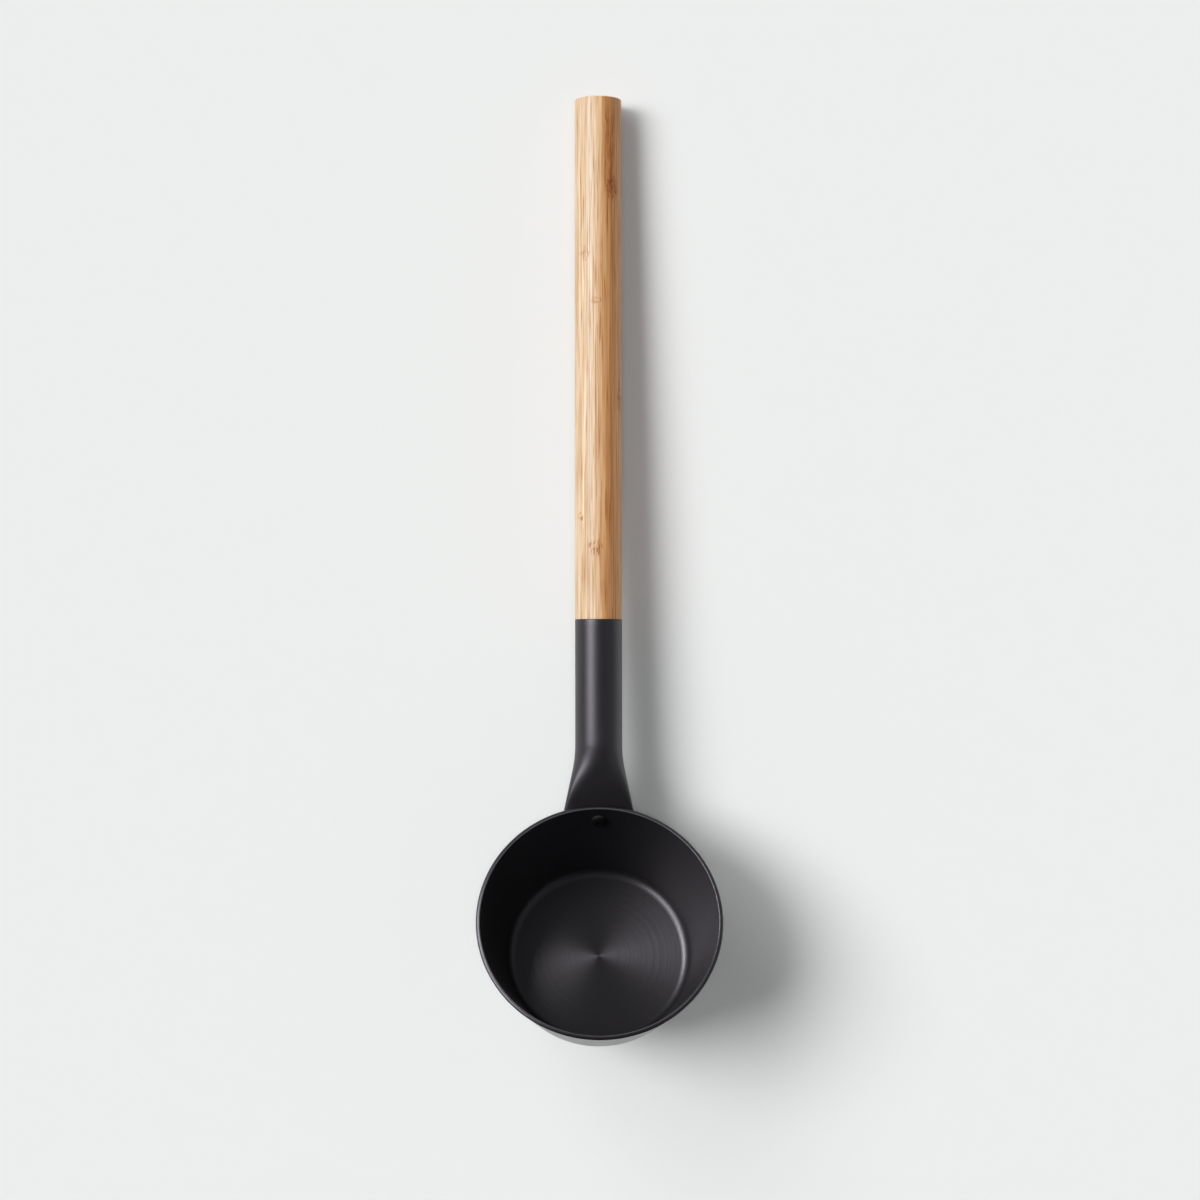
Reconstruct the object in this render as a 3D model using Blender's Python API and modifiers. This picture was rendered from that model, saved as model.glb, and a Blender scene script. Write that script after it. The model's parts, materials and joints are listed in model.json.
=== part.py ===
"""Sauna ladle: a black metal cup, a moulded neck and a round bamboo handle, lying on a table.

Metres, +Z up. The ladle lies as it is put down: on the cup's lower edge and on the end of the handle.
The handle runs along +Y, and the origin is under the middle of the whole ladle, on the table.
"""
import math

import bmesh
import bpy
import numpy as np
from mathutils import Matrix, Vector

# Cup: a tapered shell, turned about its own axis; the radii are where the wall's outer line ends
RIM_RADIUS = 0.0516
BASE_RADIUS = 0.0399
CUP_DEPTH = 0.0446
CUP_WALL = 0.0018
FLOOR_FILLET = 0.0040

# Handle: a round bar with a turned tenon at the neck's end
HANDLE_DIAMETER = 0.0200
HANDLE_LENGTH = 0.2224
HANDLE_END_ROUND = 0.0006
HANDLE_RISE = math.radians(25.4)
TENON_SHOULDER = 0.0030
TENON_LENGTH = 0.0360
TENON_CHAMFER = 0.0010

# Neck: from the wood's joint to the cup's wall, measured along the handle's axis
NECK_LENGTH = 0.0836
NECK_EDGE_ROUND = 0.0004
FLARE_LENGTH = 0.0307
FLARE_BLEND = 0.0113
ROOT_WIDTH = 0.0306
ROOT_TOP = 0.0042
ROOT_BOTTOM = 0.0082
ROOT_SQUARENESS = 2.6
ROOT_DROP = 0.0079

# Screw through the cup's wall, with its washer and threaded insert
SCREW_DIAMETER = 0.0035
SCREW_LENGTH = 0.0100
SCREW_TIP_CHAMFER = 0.0004
HEAD_DIAMETER = 0.0064
HEAD_HEIGHT = 0.0018
HEX_WIDTH = 0.0020
HEX_DEPTH = 0.0010
WASHER_DIAMETER = 0.0060
WASHER_THICKNESS = 0.0005
CUP_INSERT_WALL = 0.0008
CUP_INSERT_LENGTH = 0.0055

# Stud on the handle's axis, with its threaded insert
STUD_DIAMETER = 0.0060
STUD_GRIP = 0.0280
STUD_POINT = 0.0040
STUD_CHAMFER = 0.0005
STUD_INSERT_WALL = 0.0012
STUD_INSERT_LENGTH = 0.0120
INSERT_GROOVE = 0.0004

# Gap between pieces that touch or fit
CLEARANCE = 0.0003
# How far a cutter runs past the face it opens
OVERCUT = 0.0020

CUP_STEPS = 72
ROUND_STEPS = 48
SMALL_STEPS = 32
NECK_SIDES = 48
FLARE_STATIONS = 16

HANDLE_RADIUS = HANDLE_DIAMETER / 2
TENON_RADIUS = HANDLE_RADIUS - TENON_SHOULDER
SCREW_RADIUS = SCREW_DIAMETER / 2
STUD_RADIUS = STUD_DIAMETER / 2
CUP_INSERT_RADIUS = SCREW_RADIUS + CLEARANCE + CUP_INSERT_WALL
STUD_INSERT_RADIUS = STUD_RADIUS + CLEARANCE + STUD_INSERT_WALL
CUP_HEIGHT = CUP_DEPTH + CUP_WALL
WALL_TAPER = math.atan2(RIM_RADIUS - BASE_RADIUS, CUP_HEIGHT)
OUTER_FILLET = FLOOR_FILLET + CUP_WALL
# The cup's wall leans this far from square to the handle
WALL_LEAN = WALL_TAPER + HANDLE_RISE
FLARE_START = NECK_LENGTH - FLARE_LENGTH
# The loft runs on past where the cup's leaning, curving wall cuts it off
NECK_END = NECK_LENGTH + ROOT_BOTTOM * math.tan(WALL_LEAN) + HANDLE_RADIUS

# Turn about X that lays a piece's own Z along +Y
ALONG_Y = -math.pi / 2

PARTS = "sauna_ladle"
CUTTERS = "cutters"


def clear_scene():
    for item in list(bpy.data.objects):
        bpy.data.objects.remove(item, do_unlink=True)


def new_collection(name):
    collection = bpy.data.collections.new(name)
    bpy.context.scene.collection.children.link(collection)
    return collection


def new_material(name, colour, roughness, metallic):
    material = bpy.data.materials.new(name)
    material.use_nodes = True
    shader = material.node_tree.nodes["Principled BSDF"]
    shader.inputs["Base Color"].default_value = (*colour, 1.0)
    shader.inputs["Roughness"].default_value = roughness
    shader.inputs["Metallic"].default_value = metallic
    return material


def new_empty(name, parent=None, location=(0, 0, 0), turn_x=0.0):
    empty = bpy.data.objects.new(name, None)
    bpy.data.collections[PARTS].objects.link(empty)
    empty.parent = parent
    empty.location = location
    empty.rotation_euler.x = turn_x
    return empty


def new_part(name, mesh, material, parent, location=(0, 0, 0), turn_x=0.0):
    part = bpy.data.objects.new(name, mesh)
    bpy.data.collections[PARTS].objects.link(part)
    mesh.materials.append(material)
    part.parent = parent
    part.location = location
    part.rotation_euler.x = turn_x
    return part


def new_cutter(name, mesh, parent, location=(0, 0, 0), turn_x=0.0):
    cutter = bpy.data.objects.new(name, mesh)
    bpy.data.collections[CUTTERS].objects.link(cutter)
    cutter.parent = parent
    cutter.location = location
    cutter.rotation_euler.x = turn_x
    cutter.hide_render = True
    cutter.display_type = 'WIRE'
    return cutter


def cut(part, cutter):
    boolean = part.modifiers.new(cutter.name, 'BOOLEAN')
    boolean.operation = 'DIFFERENCE'
    boolean.solver = 'EXACT'
    boolean.object = cutter


def arc(centre, radius, start, end, steps):
    """Points (radius, height) on an arc; angles run from the +radius direction towards +height."""
    angles = np.linspace(start, end, steps + 1)
    return [(centre[0] + radius * math.cos(a), centre[1] + radius * math.sin(a)) for a in angles]


def profile_mesh(name, points, closed):
    """An open or closed outline in the XZ plane, for the Screw modifier."""
    mesh = bpy.data.meshes.new(name)
    edges = [(i, i + 1) for i in range(len(points) - 1)]
    if closed:
        edges.append((len(points) - 1, 0))
    mesh.from_pydata([(x, 0.0, z) for x, z in points], edges, [])
    return mesh


def spin(item, steps):
    screw = item.modifiers.new("turn", 'SCREW')
    screw.steps = steps
    screw.render_steps = steps
    screw.use_merge_vertices = True
    screw.merge_threshold = 0.00001
    screw.use_smooth_shade = True


def cylinder_mesh(name, radius, low, high, sides):
    """A closed cylinder on Z, between two heights."""
    mesh = bpy.data.meshes.new(name)
    build = bmesh.new()
    bmesh.ops.create_cone(build, cap_ends=True, segments=sides, radius1=radius, radius2=radius,
                          depth=high - low, matrix=Matrix.Translation((0, 0, (low + high) / 2)))
    build.to_mesh(mesh)
    build.free()
    return mesh


def bore(part, name, radius, low, high, parent, turn_x=0.0, sides=SMALL_STEPS):
    """Cut a round hole for a piece of the given radius, with the clearance added."""
    mesh = cylinder_mesh(name, radius + CLEARANCE, low, high, sides)
    cut(part, new_cutter(name, mesh, parent, turn_x=turn_x))


def wall_radius(height, offset=0.0):
    """The cup's outer radius at a height over its base, moved out square to the wall by an offset."""
    return BASE_RADIUS + height * math.tan(WALL_TAPER) + offset / math.cos(WALL_TAPER)


def fillet_reach(radius):
    """How far a corner arc starts from the corner between the cup's wall and its floor."""
    return radius * math.tan((math.pi / 2 - WALL_TAPER) / 2)


def cup_profile():
    """The cup's half section: along the floor, up the inside, over the rim and down the outside."""
    rim_round = CUP_WALL / 2
    rim_height = CUP_HEIGHT - rim_round
    rim_centre = (wall_radius(rim_height, -rim_round), rim_height)
    inner_corner = wall_radius(CUP_WALL, -CUP_WALL)
    inner_centre = (inner_corner - fillet_reach(FLOOR_FILLET), CUP_WALL + FLOOR_FILLET)
    outer_centre = (BASE_RADIUS - fillet_reach(OUTER_FILLET), OUTER_FILLET)
    points = [(0.0, CUP_WALL)]
    points += arc(inner_centre, FLOOR_FILLET, -math.pi / 2, -WALL_TAPER, 5)
    points += arc(rim_centre, rim_round, math.pi - WALL_TAPER, -WALL_TAPER, 8)
    points += arc(outer_centre, OUTER_FILLET, -WALL_TAPER, -math.pi / 2, 6)
    points.append((0.0, 0.0))
    return points


def cup_seat():
    """Where the handle's axis meets the cup's outer wall, as (radius, height) on the cup."""
    height = CUP_HEIGHT - ROOT_DROP * math.cos(WALL_TAPER)
    return wall_radius(height), height


def make_cup(cup_axis, screw_axis, material):
    """The turned shell, with the screw's hole through its wall."""
    cup = new_part("cup", profile_mesh("cup", cup_profile(), False), material, cup_axis)
    spin(cup, CUP_STEPS)
    bore(cup, "screw_hole", SCREW_RADIUS, -CUP_WALL - OVERCUT, OVERCUT, screw_axis)
    return cup


def make_handle(ladle, material):
    """Turned about Z from the end down to the tenon and up its bore; the shoulder stands off the neck."""
    bore_radius = STUD_RADIUS + CLEARANCE
    bore_end = STUD_GRIP - TENON_LENGTH + CLEARANCE
    end_centre = (HANDLE_RADIUS - HANDLE_END_ROUND, HANDLE_LENGTH - HANDLE_END_ROUND)
    points = [(0.0, HANDLE_LENGTH)]
    points += arc(end_centre, HANDLE_END_ROUND, math.pi / 2, 0.0, 4)
    points.append((HANDLE_RADIUS, CLEARANCE))
    points.append((TENON_RADIUS, CLEARANCE))
    points.append((TENON_RADIUS, TENON_CHAMFER - TENON_LENGTH))
    points.append((TENON_RADIUS - TENON_CHAMFER, -TENON_LENGTH))
    points.append((bore_radius, -TENON_LENGTH))
    points.append((bore_radius, bore_end - STUD_POINT))
    points.append((0.0, bore_end + CLEARANCE))
    mesh = profile_mesh("handle", points, False)
    handle = new_part("handle", mesh, material, ladle, turn_x=ALONG_Y)
    spin(handle, ROUND_STEPS)
    return handle


def flare_half_width(along):
    """Half the neck's width: the bar's radius, a parabolic blend, then a straight flare to the root."""
    slope = (ROOT_WIDTH / 2 - HANDLE_RADIUS) / (FLARE_LENGTH - FLARE_BLEND / 2)
    past = np.maximum(along - FLARE_START, 0.0)
    bend = np.minimum(past, FLARE_BLEND)
    return HANDLE_RADIUS + slope * (bend * bend / (2 * FLARE_BLEND) + past - bend)


def flare_share(along):
    """How far the section has gone from the round bar (0) to the root (1), on a smooth step."""
    share = np.clip((along - FLARE_START) / FLARE_LENGTH, 0.0, 1.0)
    return share * share * (3.0 - 2.0 * share)


def neck_mesh():
    """A loft from a round bar to a wide flat root; each ring has its own half width and two heights."""
    edge = np.linspace(math.pi / 2, 0.0, 4)
    straight = NECK_EDGE_ROUND * (1.0 - np.sin(edge))
    inset = NECK_EDGE_ROUND * (1.0 - np.cos(edge))
    flare = np.linspace(FLARE_START, NECK_END, FLARE_STATIONS)
    along = np.concatenate([straight, flare])[:, None]
    inset = np.concatenate([inset, np.zeros(FLARE_STATIONS)])[:, None]

    around = np.linspace(0.0, 2 * math.pi, NECK_SIDES, endpoint=False)[None, :]
    share = flare_share(along)
    power = 2.0 / (2.0 + (ROOT_SQUARENESS - 2.0) * share)
    height = np.where(np.sin(around) > 0, ROOT_TOP, ROOT_BOTTOM)
    height = HANDLE_RADIUS + (height - HANDLE_RADIUS) * share - inset
    across = flare_half_width(along) - inset
    x = across * np.sign(np.cos(around)) * np.abs(np.cos(around)) ** power
    z = height * np.sign(np.sin(around)) * np.abs(np.sin(around)) ** power
    y = np.broadcast_to(-along, x.shape)

    rings = len(along)
    index = np.arange(rings * NECK_SIDES).reshape(rings, NECK_SIDES)
    after = np.roll(index, -1, axis=1)
    quads = np.stack([index[:-1], after[:-1], after[1:], index[1:]], axis=-1).reshape(-1, 4)
    faces = quads.tolist() + [index[0, ::-1].tolist(), index[-1].tolist()]
    mesh = bpy.data.meshes.new("neck")
    mesh.from_pydata(np.stack([x, y, z], axis=-1).reshape(-1, 3).tolist(), [], faces)
    build = bmesh.new()
    build.from_mesh(mesh)
    bmesh.ops.recalc_face_normals(build, faces=build.faces)
    build.to_mesh(mesh)
    build.free()
    mesh.shade_smooth()
    mesh.set_sharp_from_angle(angle=math.radians(40))
    return mesh


def make_neck(ladle, cup_axis, screw_axis, material):
    """The loft, seated on the cup's wall and bored for the tenon, the stud and the cup screw."""
    neck = new_part("neck", neck_mesh(), material, ladle)

    top = CUP_HEIGHT + HANDLE_DIAMETER
    outline = [(0.0, top), (wall_radius(top, CLEARANCE), top),
               (wall_radius(0.0, CLEARANCE), 0.0), (0.0, 0.0)]
    seat = new_cutter("neck_seat", profile_mesh("neck_seat", outline, False), cup_axis)
    spin(seat, CUP_STEPS)
    cut(neck, seat)

    socket = -TENON_LENGTH - CLEARANCE
    bore(neck, "tenon_socket", TENON_RADIUS, socket, OVERCUT, ladle, ALONG_Y, ROUND_STEPS)
    bore(neck, "stud_pocket", STUD_INSERT_RADIUS,
         stud_insert_low() - CLEARANCE, socket + OVERCUT, ladle, ALONG_Y)
    bore(neck, "insert_pocket", CUP_INSERT_RADIUS,
         -OVERCUT, insert_low() + CUP_INSERT_LENGTH + CLEARANCE, screw_axis)
    bore(neck, "screw_tip_hole", SCREW_RADIUS, -OVERCUT, head_seat() + SCREW_LENGTH + CLEARANCE, screw_axis)
    return neck


def washer_seat():
    """The washer's face against the cup, on the screw's axis; 0 is the cup's outer wall."""
    return -CUP_WALL - CLEARANCE


def head_seat():
    """The underside of the screw's head, which presses on the washer."""
    return washer_seat() - WASHER_THICKNESS - CLEARANCE


def insert_low():
    """The insert starts just inside the neck's seat."""
    return 2 * CLEARANCE


def make_cup_screw(screw_axis, material):
    """A domed head with a hexagon socket, inside the cup, and a plain shank out into the neck."""
    head = HEAD_DIAMETER / 2
    low = head_seat()
    tip = low + SCREW_LENGTH
    top = low - HEAD_HEIGHT
    dome = (head * head + HEAD_HEIGHT * HEAD_HEIGHT) / (2 * HEAD_HEIGHT)
    edge_angle = math.atan2(HEAD_HEIGHT - dome, head)
    points = [(0.0, tip), (SCREW_RADIUS - SCREW_TIP_CHAMFER, tip), (SCREW_RADIUS, tip - SCREW_TIP_CHAMFER)]
    points.append((SCREW_RADIUS, low))
    points += arc((0.0, top + dome), dome, edge_angle, -math.pi / 2, 6)[:-1]
    points.append((0.0, top))
    screw = new_part("cup_screw", profile_mesh("cup_screw", points, False), material, screw_axis)
    spin(screw, SMALL_STEPS)

    hexagon = cylinder_mesh("hex_socket", HEX_WIDTH / math.sqrt(3), top - OVERCUT, top + HEX_DEPTH, 6)
    cut(screw, new_cutter("hex_socket", hexagon, screw_axis))
    return screw


def make_seal_washer(screw_axis, material):
    inner = SCREW_RADIUS + CLEARANCE
    outer = WASHER_DIAMETER / 2
    high = washer_seat()
    low = high - WASHER_THICKNESS
    points = [(inner, high), (outer, high), (outer, low), (inner, low)]
    washer = new_part("seal_washer", profile_mesh("seal_washer", points, True), material, screw_axis)
    spin(washer, SMALL_STEPS)
    return washer


def make_insert(name, bolt_radius, radius, length, low, parent, material, turn_x=0.0):
    """A threaded sleeve, turned about Z, with a groove round its middle that locks it in the moulding."""
    inner = bolt_radius + CLEARANCE
    groove = radius - INSERT_GROOVE
    land = length / 3
    high = low + length
    points = [(inner, high), (radius, high), (radius, high - land), (groove, high - land),
              (groove, low + land), (radius, low + land), (radius, low), (inner, low)]
    insert = new_part(name, profile_mesh(name, points, True), material, parent, turn_x=turn_x)
    spin(insert, SMALL_STEPS)
    return insert


def stud_insert_low():
    """The far end of the stud's insert, below the socket's floor, on the handle's axis."""
    return -TENON_LENGTH - 2 * CLEARANCE - STUD_INSERT_LENGTH


def make_handle_stud(ladle, material):
    """A plain-shank hanger bolt: pointed in the wood, flush with the insert's far end in the neck."""
    point = STUD_GRIP - TENON_LENGTH
    low = stud_insert_low()
    points = [(0.0, point), (STUD_RADIUS, point - STUD_POINT), (STUD_RADIUS, low + STUD_CHAMFER),
              (STUD_RADIUS - STUD_CHAMFER, low), (0.0, low)]
    mesh = profile_mesh("handle_stud", points, False)
    stud = new_part("handle_stud", mesh, material, ladle, turn_x=ALONG_Y)
    spin(stud, SMALL_STEPS)
    return stud


def lay_down(ladle, cup_axis):
    """Turn the ladle until the cup's edge and the handle's end are level, then set it on the origin."""
    edge_radius = BASE_RADIUS - fillet_reach(OUTER_FILLET)
    tilt = Matrix.Rotation(cup_axis.rotation_euler.x, 3, 'X')
    edge = cup_axis.location + tilt @ Vector((0.0, edge_radius, OUTER_FILLET))
    end = Vector((0.0, HANDLE_LENGTH - HANDLE_END_ROUND, HANDLE_END_ROUND - HANDLE_RADIUS))
    reach = end - edge
    ladle.rotation_euler.x = -(math.atan2(reach.z, reach.y)
                               + math.asin((OUTER_FILLET - HANDLE_END_ROUND) / reach.length))
    bpy.context.view_layer.update()
    low, high = extent()
    ladle.location = (-(low.x + high.x) / 2, -(low.y + high.y) / 2, -low.z)
    bpy.context.view_layer.update()


def extent():
    """The lowest and highest corners of all the finished pieces together."""
    graph = bpy.context.evaluated_depsgraph_get()
    corners = []
    for item in bpy.data.collections[PARTS].objects:
        if item.type != 'MESH':
            continue
        done = item.evaluated_get(graph)
        mesh = done.to_mesh()
        corners += [item.matrix_world @ vertex.co for vertex in mesh.vertices]
        done.to_mesh_clear()
    low = Vector([min(corner[axis] for corner in corners) for axis in range(3)])
    high = Vector([max(corner[axis] for corner in corners) for axis in range(3)])
    return low, high


def main():
    clear_scene()
    new_collection(PARTS)
    new_collection(CUTTERS)

    anodised = new_material("black_anodised", (0.012, 0.012, 0.013), 0.38, 0.6)
    moulded = new_material("black_moulded", (0.016, 0.015, 0.016), 0.45, 0.0)
    bamboo = new_material("bamboo", (0.58, 0.34, 0.15), 0.45, 0.0)
    steel = new_material("blackened_steel", (0.02, 0.02, 0.021), 0.35, 0.8)
    rubber = new_material("black_rubber", (0.01, 0.01, 0.01), 0.7, 0.0)
    brass = new_material("brass", (0.60, 0.42, 0.16), 0.30, 1.0)
    zinc = new_material("zinc_plated_steel", (0.50, 0.51, 0.53), 0.35, 1.0)

    # The joint between wood and neck is the ladle's own origin, with the handle along +Y
    ladle = new_empty("ladle")
    seat_radius, seat_height = cup_seat()
    tilt = Matrix.Rotation(-HANDLE_RISE, 3, 'X')
    cup_place = Vector((0.0, -NECK_LENGTH, 0.0)) - tilt @ Vector((0.0, seat_radius, seat_height))
    cup_axis = new_empty("cup_axis", ladle, cup_place, -HANDLE_RISE)
    screw_axis = new_empty("screw_axis", cup_axis, (0.0, seat_radius, seat_height), ALONG_Y - WALL_TAPER)

    make_cup(cup_axis, screw_axis, anodised)
    make_neck(ladle, cup_axis, screw_axis, moulded)
    make_handle(ladle, bamboo)
    make_cup_screw(screw_axis, steel)
    make_seal_washer(screw_axis, rubber)
    make_insert("cup_insert", SCREW_RADIUS, CUP_INSERT_RADIUS, CUP_INSERT_LENGTH,
                insert_low(), screw_axis, brass)
    make_handle_stud(ladle, zinc)
    make_insert("stud_insert", STUD_RADIUS, STUD_INSERT_RADIUS, STUD_INSERT_LENGTH,
                stud_insert_low(), ladle, brass, ALONG_Y)
    lay_down(ladle, cup_axis)


main()
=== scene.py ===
import json
import math

import bpy
import numpy as np
from mathutils import Matrix, Vector


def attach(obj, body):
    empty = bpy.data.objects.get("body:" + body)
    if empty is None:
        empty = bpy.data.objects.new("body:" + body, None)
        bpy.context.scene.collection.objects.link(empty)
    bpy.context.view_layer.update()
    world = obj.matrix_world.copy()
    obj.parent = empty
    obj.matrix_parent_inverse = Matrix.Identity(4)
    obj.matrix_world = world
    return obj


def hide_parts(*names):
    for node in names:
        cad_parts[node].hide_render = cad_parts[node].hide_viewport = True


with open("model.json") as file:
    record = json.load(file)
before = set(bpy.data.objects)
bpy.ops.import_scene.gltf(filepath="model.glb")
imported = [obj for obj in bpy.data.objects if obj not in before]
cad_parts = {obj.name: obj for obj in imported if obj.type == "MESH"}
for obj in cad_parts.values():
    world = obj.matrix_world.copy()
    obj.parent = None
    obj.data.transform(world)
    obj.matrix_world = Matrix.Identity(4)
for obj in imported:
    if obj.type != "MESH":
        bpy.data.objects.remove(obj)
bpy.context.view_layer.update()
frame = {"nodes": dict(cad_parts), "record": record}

print("frame loaded:", ", ".join(sorted(frame["nodes"])))


# Places: the record's two mounts give the cup's axis and the handle's axis

mounts = {mount["name"]: mount for mount in frame["record"]["mounts"]}
sideways = np.array([1.0, 0.0, 0.0])


def axesUpright(direction):
    # columns: sideways, what stands square to both, and the direction itself
    return np.stack([sideways, np.cross(direction, sideways), direction], axis=1)


def toWorld(points, axes, origin):
    return points @ axes.T + origin


# Shapes: profiles of straight runs and arcs, turned or carried along an axis

samePoint = 1e-7                # points closer together than this are one point
sharpFrom = math.radians(35.0)  # edges that turn by more than this stay crisp


def straightRun(start, end, steps):
    # points on a line, crowded towards both ends so that shading stays flat in between
    share = (1 - np.cos(np.linspace(0, np.pi, steps + 1))) / 2
    return np.array(start) + share[:, None] * (np.array(end) - np.array(start))


def arcRun(centre, radius, start, end, steps):
    # points on an arc; angles run from the outward direction towards the axis direction
    angle = np.linspace(start, end, steps + 1)
    return np.stack([centre[0] + radius * np.cos(angle), centre[1] + radius * np.sin(angle)], axis=-1)


def joinRuns(*runs):
    # one line of points through all runs, with each shared end kept once
    points = np.vstack(runs)
    apart = np.linalg.norm(np.diff(points, axis=0), axis=1) > samePoint
    return points[np.concatenate([[True], apart])]


def onward(start, end, steps):
    # even steps from a start, which is left out, to an end, one to a row
    return np.linspace(start, end, steps + 1)[1:, None]


def anglesRound(count):
    return np.linspace(0, 2 * np.pi, count, endpoint=False)


def ringsAt(radius, height, angle):
    # points at a radius and a height for each angle: x = r cos, y = r sin, z = height
    return np.stack(np.broadcast_arrays(radius * np.cos(angle), radius * np.sin(angle), height), axis=-1)


def turned(profile, around):
    # (radius, height) points swept round the axis
    return ringsAt(profile[:, :1], profile[:, 1:], anglesRound(around))


def faceCorners(here, beside):
    # corners of the first cap's triangles, of the quads between rings and of the last cap's triangles
    first = np.stack([here[0], here[1], beside[1]], axis=1)
    quads = np.stack([here[1:-2], here[2:-1], beside[2:-1], beside[1:-2]], axis=2)
    last = np.stack([here[-2], here[-1], beside[-2]], axis=1)
    return [first, quads.reshape(-1, 4, *here.shape[2:]), last]


def skin(name, rings, material, node):
    # a closed shell over rings of points; the first and last ring are single points
    rows, cols = rings.shape[:2]
    points = np.vstack([rings[0, :1], rings[1:-1].reshape(-1, 3), rings[-1, :1]])
    index = np.zeros((rows, cols), int)
    index[1:-1] = 1 + np.arange((rows - 2) * cols).reshape(rows - 2, cols)
    index[-1] = len(points) - 1
    faces = faceCorners(index, np.roll(index, -1, axis=1))

    # the map runs once round (u) and in metres along the profile (v)
    step = np.linalg.norm(np.diff(rings, axis=0), axis=-1).mean(axis=1)
    u, v = np.meshgrid(np.arange(cols) / cols, np.concatenate([[0.0], np.cumsum(step)]))
    uvs = faceCorners(np.stack([u, v], axis=-1), np.stack([u + 1 / cols, v], axis=-1))

    # a negative volume means the faces look inwards, so their corners are reversed
    first, quads, last = faces
    corners = points[np.vstack([first, last, quads[:, :3], quads[:, [0, 2, 3]]])]
    volume = np.einsum("ij,ij->i", corners[:, 0], np.cross(corners[:, 1], corners[:, 2])).sum()
    if volume < 0:
        faces = [part[:, ::-1] for part in faces]
        uvs = [part[:, ::-1] for part in uvs]

    mesh = bpy.data.meshes.new(name)
    mesh.from_pydata(points.tolist(), [], sum((part.tolist() for part in faces), []))
    layer = mesh.uv_layers.new(name="around")
    layer.data.foreach_set("uv", np.concatenate([part.reshape(-1) for part in uvs]).astype(np.float32))
    mesh.shade_smooth()
    mesh.set_sharp_from_angle(angle=sharpFrom)
    mesh.materials.append(material)
    piece = bpy.data.objects.new(name, mesh)
    bpy.context.scene.collection.objects.link(piece)
    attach(piece, "root")
    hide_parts(node)
    print("piece", name, "has", len(mesh.polygons), "faces")


# Node helpers

def plug(tree, node, inputs):
    # an input given as a socket is linked, and any other value is set on the input itself
    for key, value in inputs.items():
        if isinstance(value, bpy.types.NodeSocket):
            tree.links.new(value, node.inputs[key])
        else:
            node.inputs[key].default_value = value


def addNode(tree, kind, inputs=None, **settings):
    made = tree.nodes.new(kind)
    for name, value in settings.items():
        setattr(made, name, value)
    plug(tree, made, inputs or {})
    return made


def mathNode(tree, operation, first, second=0.0, third=0.0):
    inputs = {0: first, 1: second, 2: third}
    return addNode(tree, "ShaderNodeMath", inputs, operation=operation).outputs[0]


def vectorNode(tree, operation, first, second):
    return addNode(tree, "ShaderNodeVectorMath", {0: first, 1: second}, operation=operation).outputs


def blend(tree, share, first, second):
    # first plus a share of the way to second
    return mathNode(tree, "MULTIPLY_ADD", share, mathNode(tree, "SUBTRACT", second, first), first)


def mapRange(tree, value, low, high, toLow=0.0, toHigh=1.0, smooth=False):
    kind = "SMOOTHSTEP" if smooth else "LINEAR"
    inputs = {"Value": value, "From Min": low, "From Max": high, "To Min": toLow, "To Max": toHigh}
    return addNode(tree, "ShaderNodeMapRange", inputs, interpolation_type=kind).outputs["Result"]


def noise(tree, vector, detail, roughness=0.5, scale=1.0):
    inputs = {"Vector": vector, "Scale": scale, "Detail": detail, "Roughness": roughness}
    return addNode(tree, "ShaderNodeTexNoise", inputs).outputs["Fac"]


def stretchedNoise(tree, vector, perMetre, detail):
    # noise with its own number of waves to the metre along each axis
    return noise(tree, vectorNode(tree, "MULTIPLY", vector, perMetre)[0], detail)


def mixColour(tree, share, first, second, kind="MIX"):
    # inputs 6 and 7 and output 2 are the node's colours
    inputs = {0: share, 6: first, 7: second}
    return addNode(tree, "ShaderNodeMix", inputs, data_type="RGBA", blend_type=kind).outputs[2]


def bumpNode(tree, height, distance, strength):
    inputs = {"Height": height, "Distance": distance, "Strength": strength}
    return addNode(tree, "ShaderNodeBump", inputs).outputs[0]


def splitVector(tree, vector):
    return addNode(tree, "ShaderNodeSeparateXYZ", {0: vector}).outputs


def newMaterial(name):
    material = bpy.data.materials.new(name)
    material.use_nodes = True
    tree = material.node_tree
    return material, tree, tree.nodes["Principled BSDF"]


def objectCoordinates(tree):
    return addNode(tree, "ShaderNodeTexCoord").outputs["Object"]


def localCoordinates(tree, axes, origin):
    # object coordinates, seen from a piece's own axes
    turn = Matrix(axes.tolist()).to_euler()
    inputs = {"Vector": objectCoordinates(tree), "Location": tuple(origin), "Rotation": tuple(turn)}
    return addNode(tree, "ShaderNodeMapping", inputs, vector_type="TEXTURE").outputs[0]


def newGroup(name, vectors, values, outputs):
    # a node group that takes vectors and values and puts out values
    group = bpy.data.node_groups.new(name, "ShaderNodeTree")
    for socketName in vectors:
        group.interface.new_socket(socketName, in_out="INPUT", socket_type="NodeSocketVector")
    for socketName in values:
        group.interface.new_socket(socketName, in_out="INPUT", socket_type="NodeSocketFloat")
    for socketName in outputs:
        group.interface.new_socket(socketName, in_out="OUTPUT", socket_type="NodeSocketFloat")
    return group, group.nodes.new("NodeGroupInput").outputs, group.nodes.new("NodeGroupOutput")


def useGroup(tree, group, inputs):
    return addNode(tree, "ShaderNodeGroup", inputs, node_tree=group).outputs


# Shared effects

effects = {
    "speckle": {"detail": 2.0, "roughness": 0.60},
    "drift": {"detail": 4.0, "roughness": 0.55},
    "rings": {"Scale": 1.0, "Detail": 3.0, "Roughness": 0.70},
}
noiseSpan = (0.3, 0.7)  # nearly all of a noise's values lie in here
noiseMiddle = 0.5


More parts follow.
